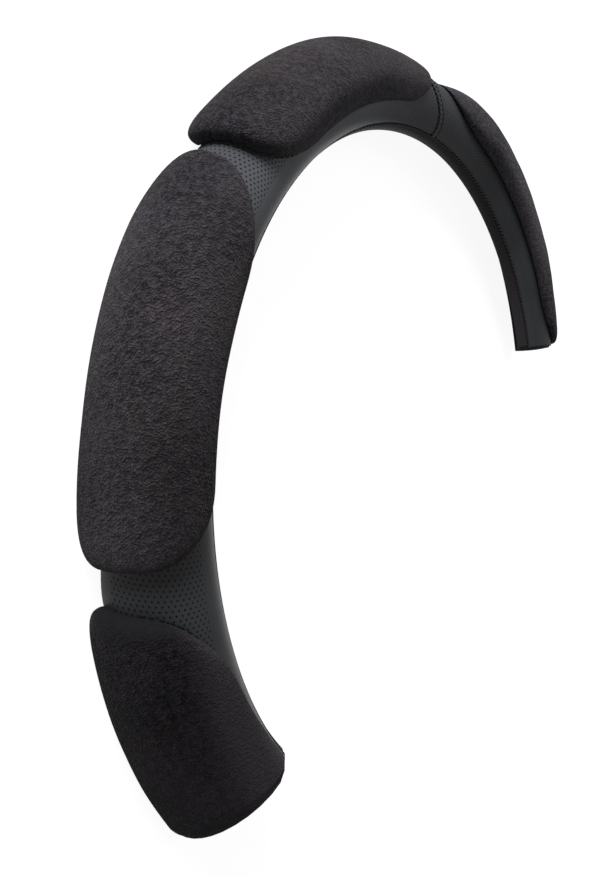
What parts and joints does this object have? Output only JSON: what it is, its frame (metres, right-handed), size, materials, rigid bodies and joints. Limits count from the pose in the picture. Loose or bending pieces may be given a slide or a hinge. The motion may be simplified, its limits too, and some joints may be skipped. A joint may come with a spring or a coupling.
{
  "type": "steering wheel cover",
  "caption": "Padded C-shaped cover half for a steering wheel rim: leather sleeve with raised suede pads on a moulded liner, open at the back to press on.",
  "frame": {"origin": "centre of the wheel rim that the cover fits, in the middle plane of the rim", "axes": "+Z along the wheel's axis towards the driver, +Y towards the top of the wheel, +X towards its 3 o'clock side"},
  "size_m": [0.3753, 0.3543, 0.0401],
  "materials": {
    "liner": "black moulded foam rubber, matt",
    "leather": "grained dark grey, perforated along its middle, satin",
    "hem": "smooth dark grey edge strip, satin",
    "foam": "soft pad filling, hidden",
    "suede": "charcoal suede, short mottled nap"
  },
  "bodies": {
    "root": {"liner": "liner", "leather_left": "leather", "leather_right": "leather", "hem_strip": "hem", "pad_right_foam": "foam", "pad_top_foam": "foam", "pad_left_foam": "foam", "pad_lower_foam": "foam", "pad_right_cover": "suede", "pad_top_cover": "suede", "pad_left_cover": "suede", "pad_lower_cover": "suede"}
  },
  "joints": []
}
